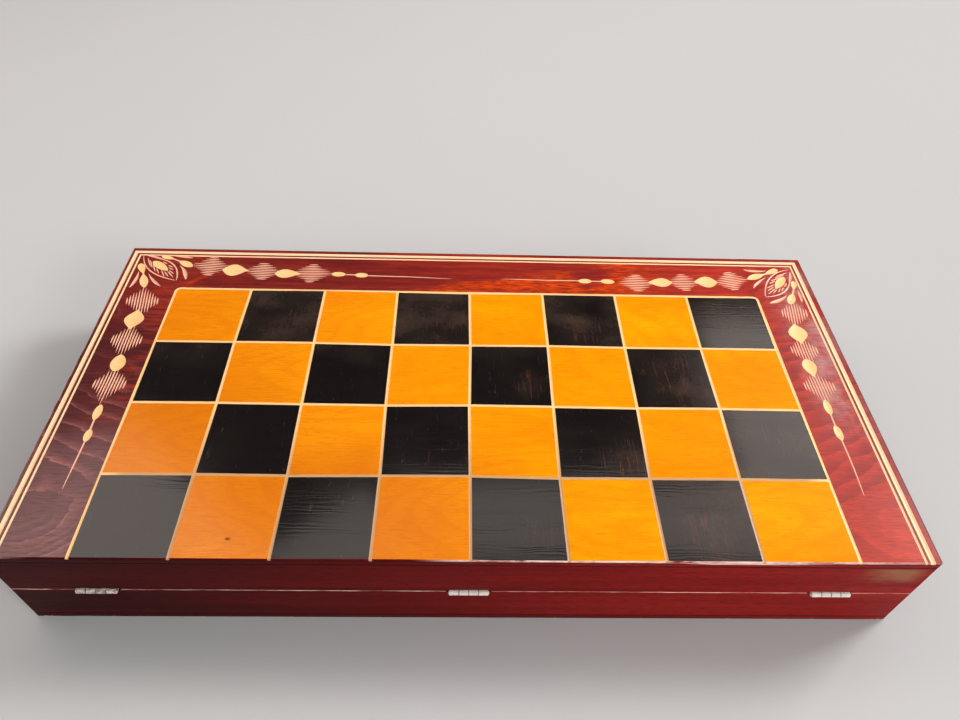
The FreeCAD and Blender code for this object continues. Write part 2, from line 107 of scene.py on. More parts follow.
# The arms of the border as the carver spaced them: the way one runs, its fans by middle, length, width and
# lean, its lozenges by middle, length, width and the powers of both ends, its ovals, and its tail
ARMS = [
    ((0, -1),
     [(-180.8, 53.6, 22, 18, 0.157), (-179.8, 24, 21, 17.2, 0.02), (-179, -6.3, 21.5, 16.5, 0)],
     [(-180.8, 39, 16, 10.4, 1.6, 1.7), (-179.3, 7.9, 11.5, 7.5, 0.75, 0.65)],
     [(-178.2, -23.8, 9.4, 4.0), (-178, -37.5, 7.5, 3.6)], ((-178.1, -41), (-178.2, -67))),
    ((0, -1),
     [(182.8, 51.8, 20.5, 15.5, -0.17), (180, 23.3, 19.5, 14.8, 0), (179.6, -2, 20.5, 16.3, 0)],
     [(180, 36, 16, 10.4, 1.5, 1.6), (179, 10.8, 13, 7.3, 0.8, 1.3)],
     [(179.2, -15.2, 9.6, 3.9), (178.9, -31, 9.2, 3.8)], ((178.8, -35), (178.3, -67))),
    ((1, 0),
     [(-150.8, 84.3, 20.5, 17, -0.07), (-120, 80.9, 21, 15.5, -0.02), (-92, 79.6, 22.5, 16, 0)],
     [(-135.9, 81.2, 15.8, 10, 1.1, 1.6), (-105.2, 79.3, 16, 7.5, 0.9, 1.6)],
     [(-76.5, 78.8, 8.2, 4.0), (-63.2, 78.5, 7.6, 4.0)], ((-60, 78.2), (-10, 77.1))),
    ((-1, 0),
     [(153.2, 79.2, 20, 16.5, 0.16), (124.5, 77.3, 19, 14.8, 0.02), (96.8, 76.3, 20.5, 15.5, 0)],
     [(137.5, 78.1, 14.8, 9.7, 1.1, 1.5), (110.2, 77, 15.4, 7.5, 1.0, 1.5)],
     [(80, 76.6, 8.2, 4.0), (67, 76.4, 7.8, 4.0)], ((64, 76.6), (18, 77.4))),
]

# The finishes of a panel, in the order of its material slots
BORDER, AMBER, BLACK, BARE, SCORED, LINE, EDGE, END = range(8)

# The middle of each hinge along the seam, from its pin, and the length of a knuckle
HINGE_MIDDLES = [sum(corner[0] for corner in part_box(f"{side}_hinge_pin")) / 2 / MM
                 for side in ("left", "middle", "right")]
KNUCKLE = 4.35

# Screws: head radius, crown, width and depth of the slot, then radius and height down the shank
COUNTERSUNK = (1.5, 0.04, (0.42, 0.3), [(1.5, -0.32), (0.8, -0.9), (0.78, -6.0), (0.2, -8.9)])
PAN_HEAD = (2.3, 0.42, (0.55, 0.4), [(2.5, -0.5), (2.5, -0.78), (1.1, -0.78), (1.1, -9.3)])
RIM_SHARE, FLANK_ROWS, HEAD_STEPS = 0.97, 5, 9
UPWARDS, DOWNWARDS = np.eye(3), np.diag([1, -1, -1])
BACKWARDS = [(-1, 0, 0), (0, 0, 1), (0, 1, 0)]
SCREW_LINE, SCREW_SPREAD, LEAF_RECESS = -96.1, 5.0, 0.1
STUD_SPREAD, STUD_REACH, STUD_FACE = 100.0, 6.5, 102.38


# Strokes: one cut of the knife or gouge

def cut(start, end, width, bend=None, rise=1.0, fall=1.0, hollow=1.0, steps=CUT_STEPS):
    """A cut along the quadratic curve start, bend, end. Its half-width at s is width / 2 times
    s^rise (1 - s)^fall, scaled to 1 at its widest; across it the depth is 1 - |t|^hollow."""
    start, end = np.array(start, float), np.array(end, float)
    bend = (start + end) / 2 if bend is None else np.array(bend, float)
    depth = V_SHARE * width if hollow == 1 else GOUGE_FLOOR + GOUGE_SHARE * width
    return dict(start=start, bend=bend, end=end, half=width / 2, rise=rise, fall=fall,
                hollow=hollow, depth=depth, steps=steps)


def groove(start, end, width):
    """A straight V cut of even width."""
    return cut(start, end, width, rise=0, fall=0, steps=2)


def petal(start, end, width, bend=None, rise=0.8, fall=0.8):
    """A gouged drop, lozenge or oval: a cut that is hollowed round, 1 - t^2 across."""
    return cut(start, end, width, bend, rise, fall, hollow=2.0, steps=PETAL_STEPS)


def centre_line(stroke, s):
    """(1 - s)^2 start + 2 s (1 - s) bend + s^2 end, and the unit normal to its direction."""
    s = s[:, None]
    a, b, c = stroke["start"], stroke["bend"], stroke["end"]
    place = (1 - s) ** 2 * a + 2 * s * (1 - s) * b + s ** 2 * c
    along = 2 * (1 - s) * (b - a) + 2 * s * (c - b)
    along /= np.linalg.norm(along, axis=1, keepdims=True)
    return place, np.stack([-along[:, 1], along[:, 0]], axis=1)


def half_width(stroke, s):
    """Half the width at s: s^rise (1 - s)^fall over its own largest value."""
    rise, fall = stroke["rise"], stroke["fall"]
    peak = rise / (rise + fall) if rise + fall else 0.5
    scale = peak ** rise * (1 - peak) ** fall
    return stroke["half"] * s ** rise * (1 - s) ** fall / scale


def stroke_grid(stroke):
    """Points of a stroke on a grid of s along it, closer at its ends, and t across it from -1 to 1."""
    s = (1 - np.cos(np.pi * np.linspace(0, 1, stroke["steps"]))) / 2
    t = V_ACROSS if stroke["hollow"] == 1 else GOUGE_ACROSS
    place, normal = centre_line(stroke, s)
    offset = half_width(stroke, s)[:, None] * t
    return place[:, None] + offset[..., None] * normal[:, None]


def stroke_depth(stroke, points):
    """How deep a stroke cuts at points: the nearest s on the centre line gives the half-width there, and the
    depth is 1 - |offset / half-width|^hollow, less where the stroke is narrower than at its widest."""
    deep = np.zeros(len(points))
    corners = np.stack([stroke["start"], stroke["bend"], stroke["end"]])
    reach = stroke["half"] + MARGIN
    inside = (points > corners.min(0) - reach) & (points < corners.max(0) + reach)
    near = np.flatnonzero(inside.all(axis=1))
    if not len(near):
        return deep
    s = np.linspace(0, 1, TRACE_STEPS)
    place, _ = centre_line(stroke, s)
    spot = points[near]
    first = np.clip(np.argmin(((spot[:, None] - place) ** 2).sum(-1), axis=1), 1, len(s) - 2)
    best = np.full(len(near), np.inf)
    at = np.zeros(len(near))
    for low in (first - 1, first):
        step = place[low + 1] - place[low]
        share = np.clip(((spot - place[low]) * step).sum(1) / (step ** 2).sum(1), 0, 1)
        gap = np.linalg.norm(spot - place[low] - share[:, None] * step, axis=1)
        closer = gap < best
        best = np.where(closer, gap, best)
        at = np.where(closer, (low + share) / (len(s) - 1), at)
    half = half_width(stroke, at)
    across = best / np.maximum(half, TINY)
    hollowed = np.clip(1 - across ** stroke["hollow"], 0, None)
    deep[near] = stroke["depth"] * half / stroke["half"] * hollowed
    return deep


# Lines that run round three sides of the board and off its hinge edge

def arch_line(half_length, far, corner, shift):
    """The outline up the left side, across the far side and down the right one, with its corners rounded."""
    turn = np.linspace(0, np.pi / 2, GRID_ROUND_STEPS if corner else 1)
    arc = np.stack([np.sin(turn), np.cos(turn)], axis=1) * corner
    right = np.array([half_length - corner, far - corner]) + arc
    foot = np.array([[half_length, -HALF_DEPTH]])
    right = np.concatenate([right, foot])
    return np.concatenate([right[::-1] * (-1, 1), right]) + (shift, 0)


def arch_distance(points, half_length, far, corner, shift):
    """How far points lie outside such an outline: the larger of the two offsets, or round a corner the
    straight distance from the corner's centre less its radius."""
    offset = np.stack([np.abs(points[:, 0] - shift) - half_length, points[:, 1] - far], axis=1) + corner
    flat = offset.max(axis=1)
    if not corner:
        return flat
    return np.hypot(*np.maximum(offset, 0).T) + np.minimum(flat, 0) - corner


# The double border line and the line round the squares: its outline, half its width and its depth
ARCHES = [((HALF_LENGTH - middle, HALF_DEPTH - middle - BORDER_DROP, 0, BORDER_SHIFT), line / 2, depth)
          for middle, line, depth in ((WIDE_LINE_MIDDLE, WIDE_LINE, WIDE_DEPTH),
                                      (NARROW_LINE_MIDDLE, NARROW_LINE, NARROW_DEPTH))]
ARCHES.append(((GRID_HALF, GRID_FAR, GRID_ROUND, 0), GRID_LINE / 2, GRID_DEPTH))


# The ornament

def fan(middle, along, length, width, lean):
    """A diamond of cuts side by side along an arm: from the middle to the edge their lengths fall as a power
    of the distance, so that its sides are hollow."""
    across = np.array([-along[1], along[0]])
    direction = along + lean * across
    count = round(width / FAN_PITCH)
    places = (np.arange(count) - (count - 1) / 2) * FAN_PITCH
    share = (1 - np.abs(places) / (width / 2 + FAN_PITCH / 2)) ** FAN_HOLLOW
    uneven = hand.uniform(1 - FAN_UNEVEN, 1 + FAN_UNEVEN, count)
    lengths = FAN_SHORTEST + (FAN_OVERREACH * length - FAN_SHORTEST) * share * uneven
    shifts = hand.uniform(-FAN_STAGGER, FAN_STAGGER, count)
    roots = np.array(middle) + places[:, None] * across + shifts[:, None] * direction
    halves = lengths[:, None] / 2 * direction
    return [cut(low, high, FAN_CUT_WIDTH, rise=0.9, fall=0.9)
            for low, high in zip(roots - halves, roots + halves)]


def arm(along, fans, lozenges, ovals, tail):
    """An arm of the border: fans, lozenges and two ovals, a neck between the ovals and a tapering tail."""
    along = np.array(along, float)
    cuts = []
    for x, y, length, width, lean in fans:
        cuts += fan((x, y), along, length, width, lean)
    for x, y, length, width, rise, fall in lozenges:
        half = along * length / 2
        cuts.append(petal((x, y) - half, (x, y) + half, width, rise=rise, fall=fall))
    for x, y, length, width in ovals:
        half = along * length / 2
        cuts.append(petal((x, y) - half, (x, y) + half, width, rise=0.6, fall=0.6))
    cuts.append(groove(ovals[0][:2], ovals[1][:2], NECK_WIDTH))
    cuts.append(cut(*tail, TAIL_WIDTH, rise=0.05, fall=0.4))
    return cuts


def corner_bud():
    """The left far corner: a bud of two curved outlines round a seed with rays, and on each side of it two
    drops on a stem and two leaves. Each stroke has a start, end, width, bend and the powers of its ends."""
    outlines = [
        ((-192.2, 92.4), (-167.6, 71.3), 0.85, (-188.3, 75.6), 0.45, 0.3),
        ((-182.5, 90.0), (-167.1, 71.1), 0.95, (-168.2, 86.2), 0.35, 0.35),
        ((-190.2, 92.6), (-179.0, 88.5), 1.6, (-184.5, 91.6), 0.6, 0.7),
    ]
    leaves = [
        ((-190.6, 78.6), (-191.2, 64.2), 2.0, (-188.6, 71.0), 1.2, 0.9),
        ((-184.6, 77.0), (-174.4, 65.9), 1.7, (-180.8, 70.4), 1.5, 0.8),
        ((-174.6, 92.2), (-163.2, 91.2), 1.6, (-168.5, 92.4), 1.2, 0.9),
        ((-169.6, 84.6), (-162.0, 72.4), 2.2, (-164.4, 81.0), 1.5, 0.7),
        ((-173.9, 89.8), (-168.6, 87.4), 1.1, None, 0.0, 0.0),
        ((-187.8, 77.4), (-186.4, 74.6), 1.1, None, 0.0, 0.0),
    ]
    rays = [
        ((-189.2, 90.3), (-185.3, 82.2)), ((-187.2, 88.3), (-183.9, 81.3)), ((-184.6, 85.0), (-181.2, 78.1)),
        ((-181.5, 81.2), (-178.6, 76.6)), ((-178.2, 79.7), (-174.7, 74.0)), ((-176.0, 78.6), (-172.4, 74.0)),
        ((-174.4, 78.9), (-169.5, 73.6)), ((-173.9, 79.8), (-170.2, 76.7)), ((-174.9, 82.1), (-171.3, 80.1)),
        ((-175.7, 84.2), (-172.2, 82.3)), ((-179.7, 87.3), (-176.3, 85.1)),
    ]
    drops = [
        ((-185.2, 87.4), (-174.4, 79.3), 4.8, None, 0.6, 0.75),
        ((-192.0, 85.2), (-187.0, 76.2), 3.9, None, 0.55, 1.0),
        ((-187.2, 75.8), (-182.6, 64.4), 4.6, None, 0.9, 0.8),
        ((-181.6, 92.3), (-173.8, 89.8), 3.3, None, 0.5, 0.9),
        ((-170.6, 88.4), (-161.4, 83.6), 4.5, None, 0.9, 0.7),
    ]
    cuts = [cut(*stroke, steps=BUD_STEPS) for stroke in outlines + leaves]
    cuts += [cut(*ray, RAY_WIDTH, rise=0.6, fall=0.7) for ray in rays]
    return cuts + [petal(*drop) for drop in drops]


def turned_corner(cuts):
    """The right far corner: the two offsets from the corner change places, which is a quarter turn."""
    (left, left_far), (right, right_far) = LEFT_CORNER, RIGHT_CORNER

    def moved(point):
        return np.array((right - left_far + point[1], right_far + left - point[0]))

    return [dict(c, **{end: moved(c[end]) for end in ("start", "bend", "end")}) for c in cuts]


def ornament():
    """Both corners and the four arms."""
    bud = corner_bud()
    return sum((arm(*spacing) for spacing in ARMS), bud + turned_corner(bud))


def grid_cuts():
    """The lines between the files and ranks, run off the hinge edge."""
    files = (np.arange(1, FILES) - FILES / 2) * SQUARE
    ranks = np.arange(1, RANKS) * SQUARE - HALF_DEPTH
    cuts = [groove((x, -HALF_DEPTH), (x, GRID_FAR), GRID_LINE) for x in files]
    cuts += [groove((-GRID_HALF, y), (GRID_HALF, y), GRID_LINE) for y in ranks]
    return [dict(c, depth=GRID_DEPTH) for c in cuts]


def point_cuts():
    """The outlines of the backgammon points, two straight grooves to each tip."""
    cuts = []
    middles = (np.arange(POINTS) + 0.5) * POINT_PITCH - TRAY_HALF_DEPTH
    half = (POINT_PITCH - POINT_GAP) / 2 - POINT_LINE / 2
    for side in (-1, 1):
        base, tip = side * (TRAY_HALF_LENGTH + POINT_OVERRUN), side * (TRAY_HALF_LENGTH - POINT_LENGTH)
        for y in middles:
            cuts += [groove((base, y + edge * half), (tip, y), POINT_LINE) for edge in (-1, 1)]
    return cuts


# Meshes

def ring(inset):
    """The panel's outline moved in by inset: a rectangle with rounded corners, anticlockwise."""
    round_by = max(CORNER_ROUND - inset, LEAST_ROUND)
    turn = np.linspace(0, np.pi / 2, CORNER_STEPS)
    arc = np.stack([np.cos(turn), np.sin(turn)], axis=1) * round_by
    corner = arc + (HALF_LENGTH - inset - round_by, HALF_DEPTH - inset - round_by)
    return np.concatenate([corner, corner[::-1] * (-1, 1), corner * (-1, -1), corner[::-1] * (1, -1)])


def inset_of(points):
    """How far points lie inside the panel's outline, by the same rounded rectangle."""
    offset = np.abs(points) - (HALF_LENGTH - CORNER_ROUND, HALF_DEPTH - CORNER_ROUND)
    return CORNER_ROUND - np.hypot(*np.maximum(offset, 0).T) - np.minimum(offset.max(axis=1), 0)


def slotted_screw(radius, crown, slot, profile, heading):
    """A slotted screw with the rim of its head at z = 0. The head is a grid of rows y across the slot and
    steps u along it: x = u sqrt(R^2 - y^2), z = crown (1 - (x^2 + y^2) / R^2), less the depth of the slot
    between its two walls. The edge of that grid is carried down through the profile's radii and heights and
    closed at the tip, and the whole is turned to its heading in degrees."""
    slot_width, slot_depth = slot
    flank = np.linspace(slot_width / 2, RIM_SHARE * radius, FLANK_ROWS)
    wall = np.array([-slot_width / 2, slot_width / 2])
    y = np.concatenate([-flank[::-1], wall, flank])[:, None]
    sunk = np.concatenate([0 * flank, np.ones(2), 0 * flank])[:, None]
    x = np.linspace(-1, 1, HEAD_STEPS) * np.sqrt(radius ** 2 - y ** 2)
    z = crown * (1 - (x ** 2 + y ** 2) / radius ** 2) - slot_depth * sunk
    head = np.stack([x, y + 0 * x, z], axis=-1)
    index = np.arange(x.size).reshape(x.shape)
    corners = (index[:-1, :-1], index[:-1, 1:], index[1:, 1:], index[1:, :-1])
    polygons = np.stack([c.ravel() for c in corners], axis=1).tolist()
    edge = np.concatenate([index[0, :-1], index[:-1, -1], index[-1, :0:-1], index[:0:-1, 0]])
    rim = head.reshape(-1, 3)[edge, :2] / radius
    rings = [np.column_stack([rim * ring_radius, np.full(len(edge), height)])
             for ring_radius, height in profile]
    above = edge
    for step in range(len(rings)):
        below = x.size + step * len(edge) + np.arange(len(edge))
        around = (above, below, np.roll(below, -1), np.roll(above, -1))
        polygons += np.stack(around, axis=1).tolist()
        above = below
    polygons.append(above[::-1].tolist())
    turn = np.radians(heading)
    spin = np.array([[np.cos(turn), np.sin(turn), 0], [-np.sin(turn), np.cos(turn), 0], [0, 0, 1]])
    return np.concatenate([head.reshape(-1, 3), *rings]) @ spin, polygons


def screw_set(name, screw, places, facing, finish):
    """Screws of one kind at several places, their heads facing one way, each slot at an angle of its own."""
    vertices, polygons, count = [], [], 0
    for place in places:
        shape, faces = slotted_screw(*screw, hand.uniform(0, 180))
        vertices.append(shape @ np.array(facing, float) + place)
        polygons += [[count + corner for corner in face] for face in faces]
        count += len(shape)
    return new_piece(name, np.concatenate(vertices), polygons, [finish], np.zeros(len(polygons), bool))


class Plan:
    """Points and lines gathered for one triangulation."""

    def __init__(self):
        self.points, self.lines, self.count = [], [], 0

    def line(self, points, closed=False):
        """Adds points in a row and the lines that join them."""
        index = self.count + np.arange(len(points))
        after = np.roll(index, -1)
        pairs = np.stack([index, after], axis=1)
        self.lines.append(pairs if closed else pairs[:-1])
        self.points.append(np.asarray(points, float))
        self.count += len(points)

    def strokes(self, strokes):
        """Adds the rims of every stroke and the lines between them."""
        for stroke in strokes:
            grid = stroke_grid(stroke)
            for column in range(grid.shape[1]):
                self.line(grid[:, column])

    def triangles(self):
        """Points, triangles and the first given point that each point came from."""
        points = np.concatenate(self.points)
        lines = np.concatenate(self.lines)
        made = delaunay_2d_cdt([Vector(p) for p in points], lines.tolist(), [], 0, MERGE)
        came_from = np.array([source[0] if source else -1 for source in made[3]])
        return np.array([tuple(p) for p in made[0]]), np.array(made[2]), came_from


def carved_top():
    """The chess side: height is the top less the rounding of the edge, a quarter circle, less the deepest cut
    there. Each face takes its finish from the place of its middle."""
    straight, ornate = grid_cuts(), ornament()
    strokes = straight + ornate
    plan = Plan()
    for inset in EDGE_STEPS:
        plan.line(ring(inset), closed=True)
    for (half_length, far, corner, shift), half, _ in ARCHES:
        for move in (-half, 0, half):
            plan.line(arch_line(half_length + move, far + move, corner + move if corner else 0, shift))
    plan.strokes(strokes)
    points, faces, _ = plan.triangles()

    def depth_at(spots):
        deep = np.zeros(len(spots))
        for stroke in strokes:
            deep = np.maximum(deep, stroke_depth(stroke, spots))
        for outline, half, depth in ARCHES:
            share = np.abs(arch_distance(spots, *outline)) / half
            deep = np.maximum(deep, depth * np.clip(1 - share, 0, None))
        return deep

    inset = np.clip(inset_of(points), 0, EDGE_ROUND)
    rounding = EDGE_ROUND - np.sqrt(EDGE_ROUND ** 2 - (EDGE_ROUND - inset) ** 2)
    height = PANEL_TOP - rounding - depth_at(points)
    middle = points[faces].mean(axis=1)
    file = np.floor(middle[:, 0] / SQUARE + FILES / 2).astype(int)
    rank = np.floor((middle[:, 1] + HALF_DEPTH) / SQUARE).astype(int)
    on_grid = arch_distance(middle, GRID_HALF, GRID_FAR, GRID_ROUND, 0) < 0
    finish = np.where(on_grid, np.where((file + rank) % 2, AMBER, BLACK), BORDER)
    rounded = inset_of(middle) < EDGE_ROUND
    at_end = np.abs(middle[:, 0]) > HALF_LENGTH - EDGE_ROUND
    finish[rounded] = np.where(at_end, END, EDGE)[rounded]
    carved = depth_at(middle) > CARVED
    finish[carved] = BARE
    for outline, half, _ in ARCHES[:2]:
        finish[np.abs(arch_distance(middle, *outline)) < half] = LINE
    gouged = np.zeros(len(middle), bool)
    for stroke in ornate:
        inside = stroke_depth(stroke, middle) > 0
        if stroke["hollow"] > 1:
            gouged |= inside
        else:
            finish[inside & ~gouged] = SCORED
    finish[gouged] = BARE
    return np.column_stack([points, height]), faces, finish, rounded & ~carved | gouged


def panel_shell():
    """A whole panel: the carved top, its sides, a broken lower edge, and the inner face with its points."""
    top, top_faces, top_finish, top_smooth = carved_top()
    rim = np.flatnonzero(inset_of(top[:, :2]) < ON_RIM)
    rim = rim[np.argsort(np.arctan2(top[rim, 1], top[rim, 0]))]
    count = len(rim)
    side = top[rim].copy()
    side[:, 2] = PANEL_UNDER + UNDER_BREAK
    foot = top[rim] * (1 - UNDER_BREAK / HALF_LENGTH, 1 - UNDER_BREAK / HALF_DEPTH, 0)
    foot[:, 2] = PANEL_UNDER

    plan = Plan()
    plan.line(foot[:, :2], closed=True)
    strokes = point_cuts()
    plan.strokes(strokes)
    points, faces, came_from = plan.triangles()
    on_foot = (came_from >= 0) & (came_from < count)
    deep, middle = np.zeros(len(points)), points[faces].mean(axis=1)
    cut_out = np.zeros(len(middle))
    for stroke in strokes:
        deep = np.maximum(deep, stroke_depth(stroke, points))
        cut_out = np.maximum(cut_out, stroke_depth(stroke, middle))
    deep[on_foot] = 0
    place = np.full(len(points), -1)
    place[on_foot] = len(top) + count + came_from[on_foot]
    place[~on_foot] = len(top) + 2 * count + np.arange((~on_foot).sum())
    inner = np.column_stack([points, PANEL_UNDER + deep])[~on_foot]

    row = np.floor((middle[:, 1] + TRAY_HALF_DEPTH) / POINT_PITCH)
    off = np.abs(middle[:, 1] + TRAY_HALF_DEPTH - (row + 0.5) * POINT_PITCH)
    reach = (np.abs(middle[:, 0]) - TRAY_HALF_LENGTH + POINT_LENGTH) / POINT_LENGTH
    on_point = off < reach * (POINT_PITCH - POINT_GAP) / 2
    odd = (row + (middle[:, 0] > 0)) % 2 == 1
    inner_finish = np.where(on_point, np.where(odd, AMBER, BLACK), BORDER)
    inner_finish[cut_out > CARVED] = BARE

    following = np.roll(np.arange(count), -1)
    upper = np.stack([len(top) + np.arange(count), len(top) + following, rim[following], rim], axis=1)
    lower = np.stack([len(top) + count + np.arange(count), len(top) + count + following,
                      len(top) + following, len(top) + np.arange(count)], axis=1)
    sides = np.concatenate([upper, lower])
    vertices = np.concatenate([top, side, foot, inner])
    vertices[:, :2] += wobble(vertices[:, :2])
    polygons = top_faces.tolist() + sides.tolist() + place[faces][:, ::-1].tolist()
    at_end = np.abs(vertices[sides].mean(axis=1)[:, 0]) > HALF_LENGTH - EDGE_ROUND
    finish = np.concatenate([top_finish, np.where(at_end, END, EDGE), inner_finish])
    smooth = np.concatenate([top_smooth, np.zeros(len(sides) + len(faces), bool)])
    return vertices, polygons, finish, smooth


def waves(table, along, across):
    """The sum of strength sin(along / length + across / other length + phase)."""
    return sum(strength * np.sin(along / length + across / other + phase)
               for strength, length, other, phase in table)


def wobble(points):
    """The unsteadiness of a hand-guided knife: slow waves across the board that die out at its edges."""
    x, y = points.T
    fade = np.clip(((HALF_LENGTH, HALF_DEPTH) - np.abs(points)) / WOBBLE_FADE, 0, 1)
    return WOBBLE * fade * np.stack([waves(SWAY, y, x), waves(DRIFT, x, y)], axis=1)


def new_piece(name, vertices, polygons, finishes, smooth, finish=None):
    """A mesh object from vertices in millimetres, with a shading flag and a finish for each face."""
    mesh = bpy.data.meshes.new(name)
    mesh.from_pydata((np.asarray(vertices) * MM).tolist(), [], polygons)
    for material in finishes:
        mesh.materials.append(material)
    if finish is not None:
        mesh.polygons.foreach_set("material_index", np.asarray(finish, np.int32))
    mesh.polygons.foreach_set("use_smooth", smooth)
    mesh.update()
    piece = bpy.data.objects.new(name, mesh)
    bpy.context.scene.collection.objects.link(piece)
    return piece


# Finishes

class Wire:
    """A node socket that stands in Python expressions: each operator adds one Math node."""

    def __init__(self, tree, socket=None):
        self.tree, self.socket = tree, socket

    def node(self, kind, settings=None, sockets=None, output=0):
        """Adds a node of this kind, makes its settings, sets or links its sockets, and gives an output."""
        made = self.tree.nodes.new("ShaderNode" + kind)
        for name, value in (settings or {}).items():
            setattr(made, name, value)
        for key, value in (sockets or {}).items():
            if isinstance(value, Wire):
                self.tree.links.new(value.socket, made.inputs[key])
            else:
                made.inputs[key].default_value = value
        return Wire(self.tree, made.outputs[output])

    def math(self, operation, *values):
        """One Math node on values or wires."""
        return self.node("Math", {"operation": operation}, dict(enumerate(values)))

    def __add__(self, other):
        return self.math("ADD", self, other)

    __radd__ = __add__

    def __sub__(self, other):
        return self.math("SUBTRACT", self, other)

    def __rsub__(self, other):
        return self.math("SUBTRACT", other, self)

    def __mul__(self, other):
        return self.math("MULTIPLY", self, other)

    __rmul__ = __mul__

    def __truediv__(self, other):
        return self.math("DIVIDE", self, other)

    def __pow__(self, other):
        return self.math("POWER", self, other)

    def __abs__(self):
        return self.math("ABSOLUTE", self)

    def sine(self):
        return self.math("SINE", self)

    def fraction(self):
        return self.math("FRACT", self)

    def largest(self, other):
        return self.math("MAXIMUM", self, other)

    def hypot(self, other):
        """The square root of the sum of both squares."""
        return (self ** 2 + other ** 2) ** 0.5

    def span(self, low, high):
        """0 below low, 1 above high, and a smooth step between; the other way round if low is above high."""
        return self.node("MapRange", {"interpolation_type": "SMOOTHSTEP"},
                         {"Value": self, "From Min": low, "From Max": high})

    def blend(self, first, second):
        """The first colour where this is 0 and the second where it is 1."""
        return self.node("Mix", {"data_type": "RGBA"}, {0: self, 6: first, 7: second}, 2)

    def noise(self, scale, detail=2.0, rough=0.5, distort=0.0):
        """Noise from 0 to 1 at so many cells a metre along each axis."""
        stretched = self.node("Mapping", None, {"Vector": self, "Scale": scale})
        return self.node("TexNoise", None, {"Vector": stretched, "Scale": 1.0, "Detail": detail,
                                            "Roughness": rough, "Distortion": distort})

    def axis(self, name):
        """One coordinate in millimetres."""
        return self.node("SeparateXYZ", None, {"Vector": self}, name) * (1 / MM)


def new_finish(name):
    """An empty finish: its material and a wire to its Object coordinates."""
    material = bpy.data.materials.new(name)
    material.use_nodes = True
    return material, Wire(material.node_tree).node("TexCoord", output="Object")


def lay(material, sockets, bump=None):
    """Lays the finish: values or wires for the shader's sockets, and a bump by relief, strength and height in
    millimetres."""
    shader = material.node_tree.nodes["Principled BSDF"]
    if bump:
        relief, strength, height = bump
        sockets = dict(sockets, Normal=relief.node(
            "Bump", None, {"Height": relief, "Strength": strength, "Distance": height * MM}))
    for key, value in sockets.items():
        if isinstance(value, Wire):
            material.node_tree.links.new(value.socket, shader.inputs[key])
        else:
            shader.inputs[key].default_value = value
    return material


def shade(red, green, blue):
    """A colour given as it shows on a screen, 0 to 255, turned into a linear one by the screen's curve."""
    seen = np.array([red, green, blue]) / 255
    linear = np.where(seen <= 0.04045, seen / 12.92, ((seen + 0.055) / 1.055) ** 2.4)
    return (*linear.tolist(), 1.0)


def coats(tone, *layers):
    """Lays colours over a tone one after the other, each by its mask."""
    for mask, colour in layers:
        tone = mask.blend(tone, colour)
    return tone


# Where the black stain is rubbed through: middle, reach and strength of each place
RUBBED = [(103, 4, 18, 1.0), (74, -48, 17, 0.9), (-8, -50, 13, 0.5), (104, -86, 16, 0.45),
          (30, -88, 12, 0.25), (-14, 42, 17, 0.6), (62, 38, 16, 0.6), (-98, 44, 14, 0.4),
          (31, -2, 12, 0.8), (148, -36, 12, 0.4)]
# The dark speck in the amber: its middle and half its length and width
SPECK, SPECK_HALF = (-101.6, -90.6), (1.2, 0.7)
# Radians a millimetre of the ripples in the lacquer, and how far they bend
FINE_RIPPLES, BROAD_RIPPLES, RIPPLE_BEND = 4.6, 3.3, 9
# The growth rings of the border: their pitches, their slope, and the middle and stretch of those that close
PALE_PITCH, THIN_PITCH, DARK_PITCH, RING_START = 10.5, 3.5, 8, 1.5
RING_SLOPE, RING_FOOT, CLOSE_OUT, CLOSE_NEAR, CLOSE_STRETCH = 0.5, 180, 190, -80, 1.44
# The flame of the border: slope and height of its upper edge, the wedge that parts it, and its streak
FLAME_SLOPE, FLAME_EDGE, WEDGE_MIDDLE, WEDGE_FOOT, WEDGE_SLOPE = 0.27, 74, 68, 76, 0.6
STREAK_MIDDLE, STREAK_SLOPE = (-155, 73), 0.9
# How far in from the edge the ridge between the two border lines lies
RIDGE = 5.2


def wrinkles(co, turn):
    """Lacquer that shrank across the grain: a sine of y, turning so many radians a millimetre, bent by a slow
    noise and faded out in places."""
    bend = RIPPLE_BEND * co.noise((24, 130, 130), 3.0, 0.55)
    kept = co.noise((18, 170, 170), 3.0, 0.6).span(0.38, 0.66)
    return ((co.axis("Y") + bend) * turn).sine() * kept * 0.5 + 0.5


